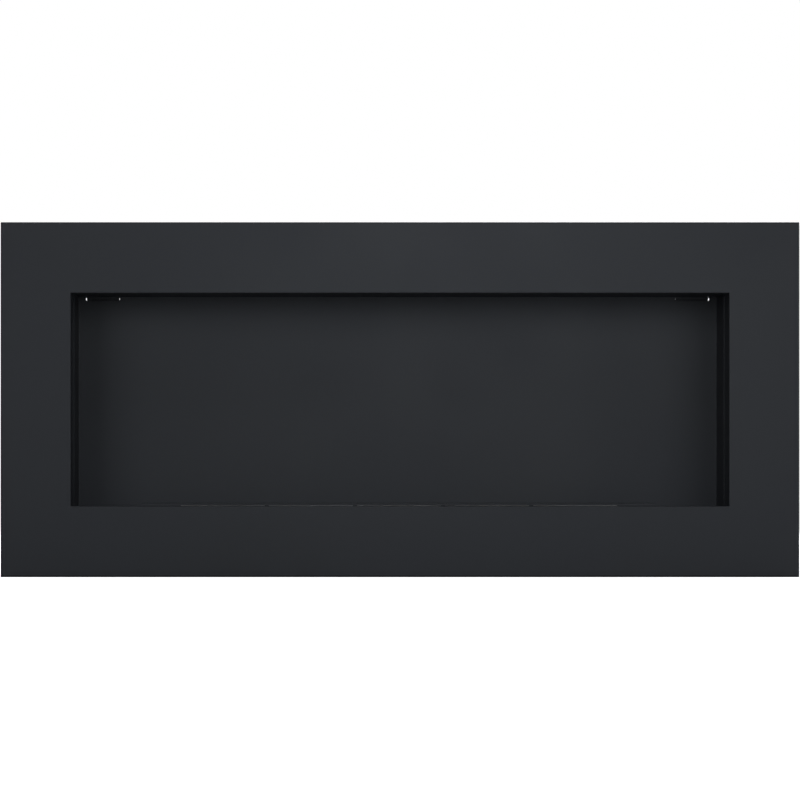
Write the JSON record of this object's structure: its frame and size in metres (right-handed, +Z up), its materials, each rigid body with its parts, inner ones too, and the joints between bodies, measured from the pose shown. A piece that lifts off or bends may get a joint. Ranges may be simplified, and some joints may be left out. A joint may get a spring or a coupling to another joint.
{
  "type": "wall-hung ethanol fireplace",
  "caption": "Shallow black steel wall fireplace: a flat border frames a wide empty recess with a slotted lift-out fuel burner along its floor and two hanging slots in its back.",
  "frame": {"origin": "on the underside of the casing, at the middle of its width and depth", "axes": "+X to the viewer's right along the width, +Y from the front face to the wall, +Z up"},
  "size_m": [0.9, 0.12, 0.4],
  "materials": {
    "black_coat": "fine-textured satin powder coat, anthracite black",
    "stainless": "cold-rolled stainless sheet, satin, slightly heat tinted round the flame slots",
    "zinc_plate": "bright zinc plate",
    "black_fastener": "black-coated screws and rivets",
    "ceramic_wool": "matt fibrous ceramic wool",
    "buffer_rubber": "matt black rubber"
  },
  "bodies": {
    "case": {"front_frame": "black_coat", "casing_top": "black_coat", "casing_bottom": "black_coat", "casing_side_left": "black_coat", "casing_side_right": "black_coat", "back_panel": "black_coat", "liner_top": "black_coat", "liner_floor": "black_coat", "liner_side_left": "black_coat", "liner_side_right": "black_coat", "side_brace_left": "zinc_plate", "side_brace_right": "zinc_plate", "floor_prop_left": "zinc_plate", "floor_prop_right": "zinc_plate", "hanger_left": "black_coat", "hanger_right": "black_coat", "heat_shield": "zinc_plate", "shield_spacers": "zinc_plate", "panel_screws": "zinc_plate", "frame_screws": "black_fastener", "liner_rivets": "black_fastener", "hanger_rivets": "zinc_plate", "wall_buffers": "buffer_rubber"},
    "burner": {"burner_cover": "black_coat", "burner_tank": "stainless", "tank_baffles": "stainless", "wool_blocks": "ceramic_wool", "wool_retainer": "stainless", "shutter_guide_left": "stainless", "shutter_guide_right": "stainless", "cover_screws": "zinc_plate"},
    "shutter": {"shutter_plate": "stainless", "shutter_pin": "zinc_plate"}
  },
  "joints": [
    {"name": "burner_lift", "type": "slide", "parent": "case", "child": "burner", "axis": [0, 0, 1], "range_m": [0, 0.12]},
    {"name": "shutter_slide", "type": "slide", "parent": "burner", "child": "shutter", "axis": [0, 1, 0], "range_m": [0, 0.021]}
  ]
}
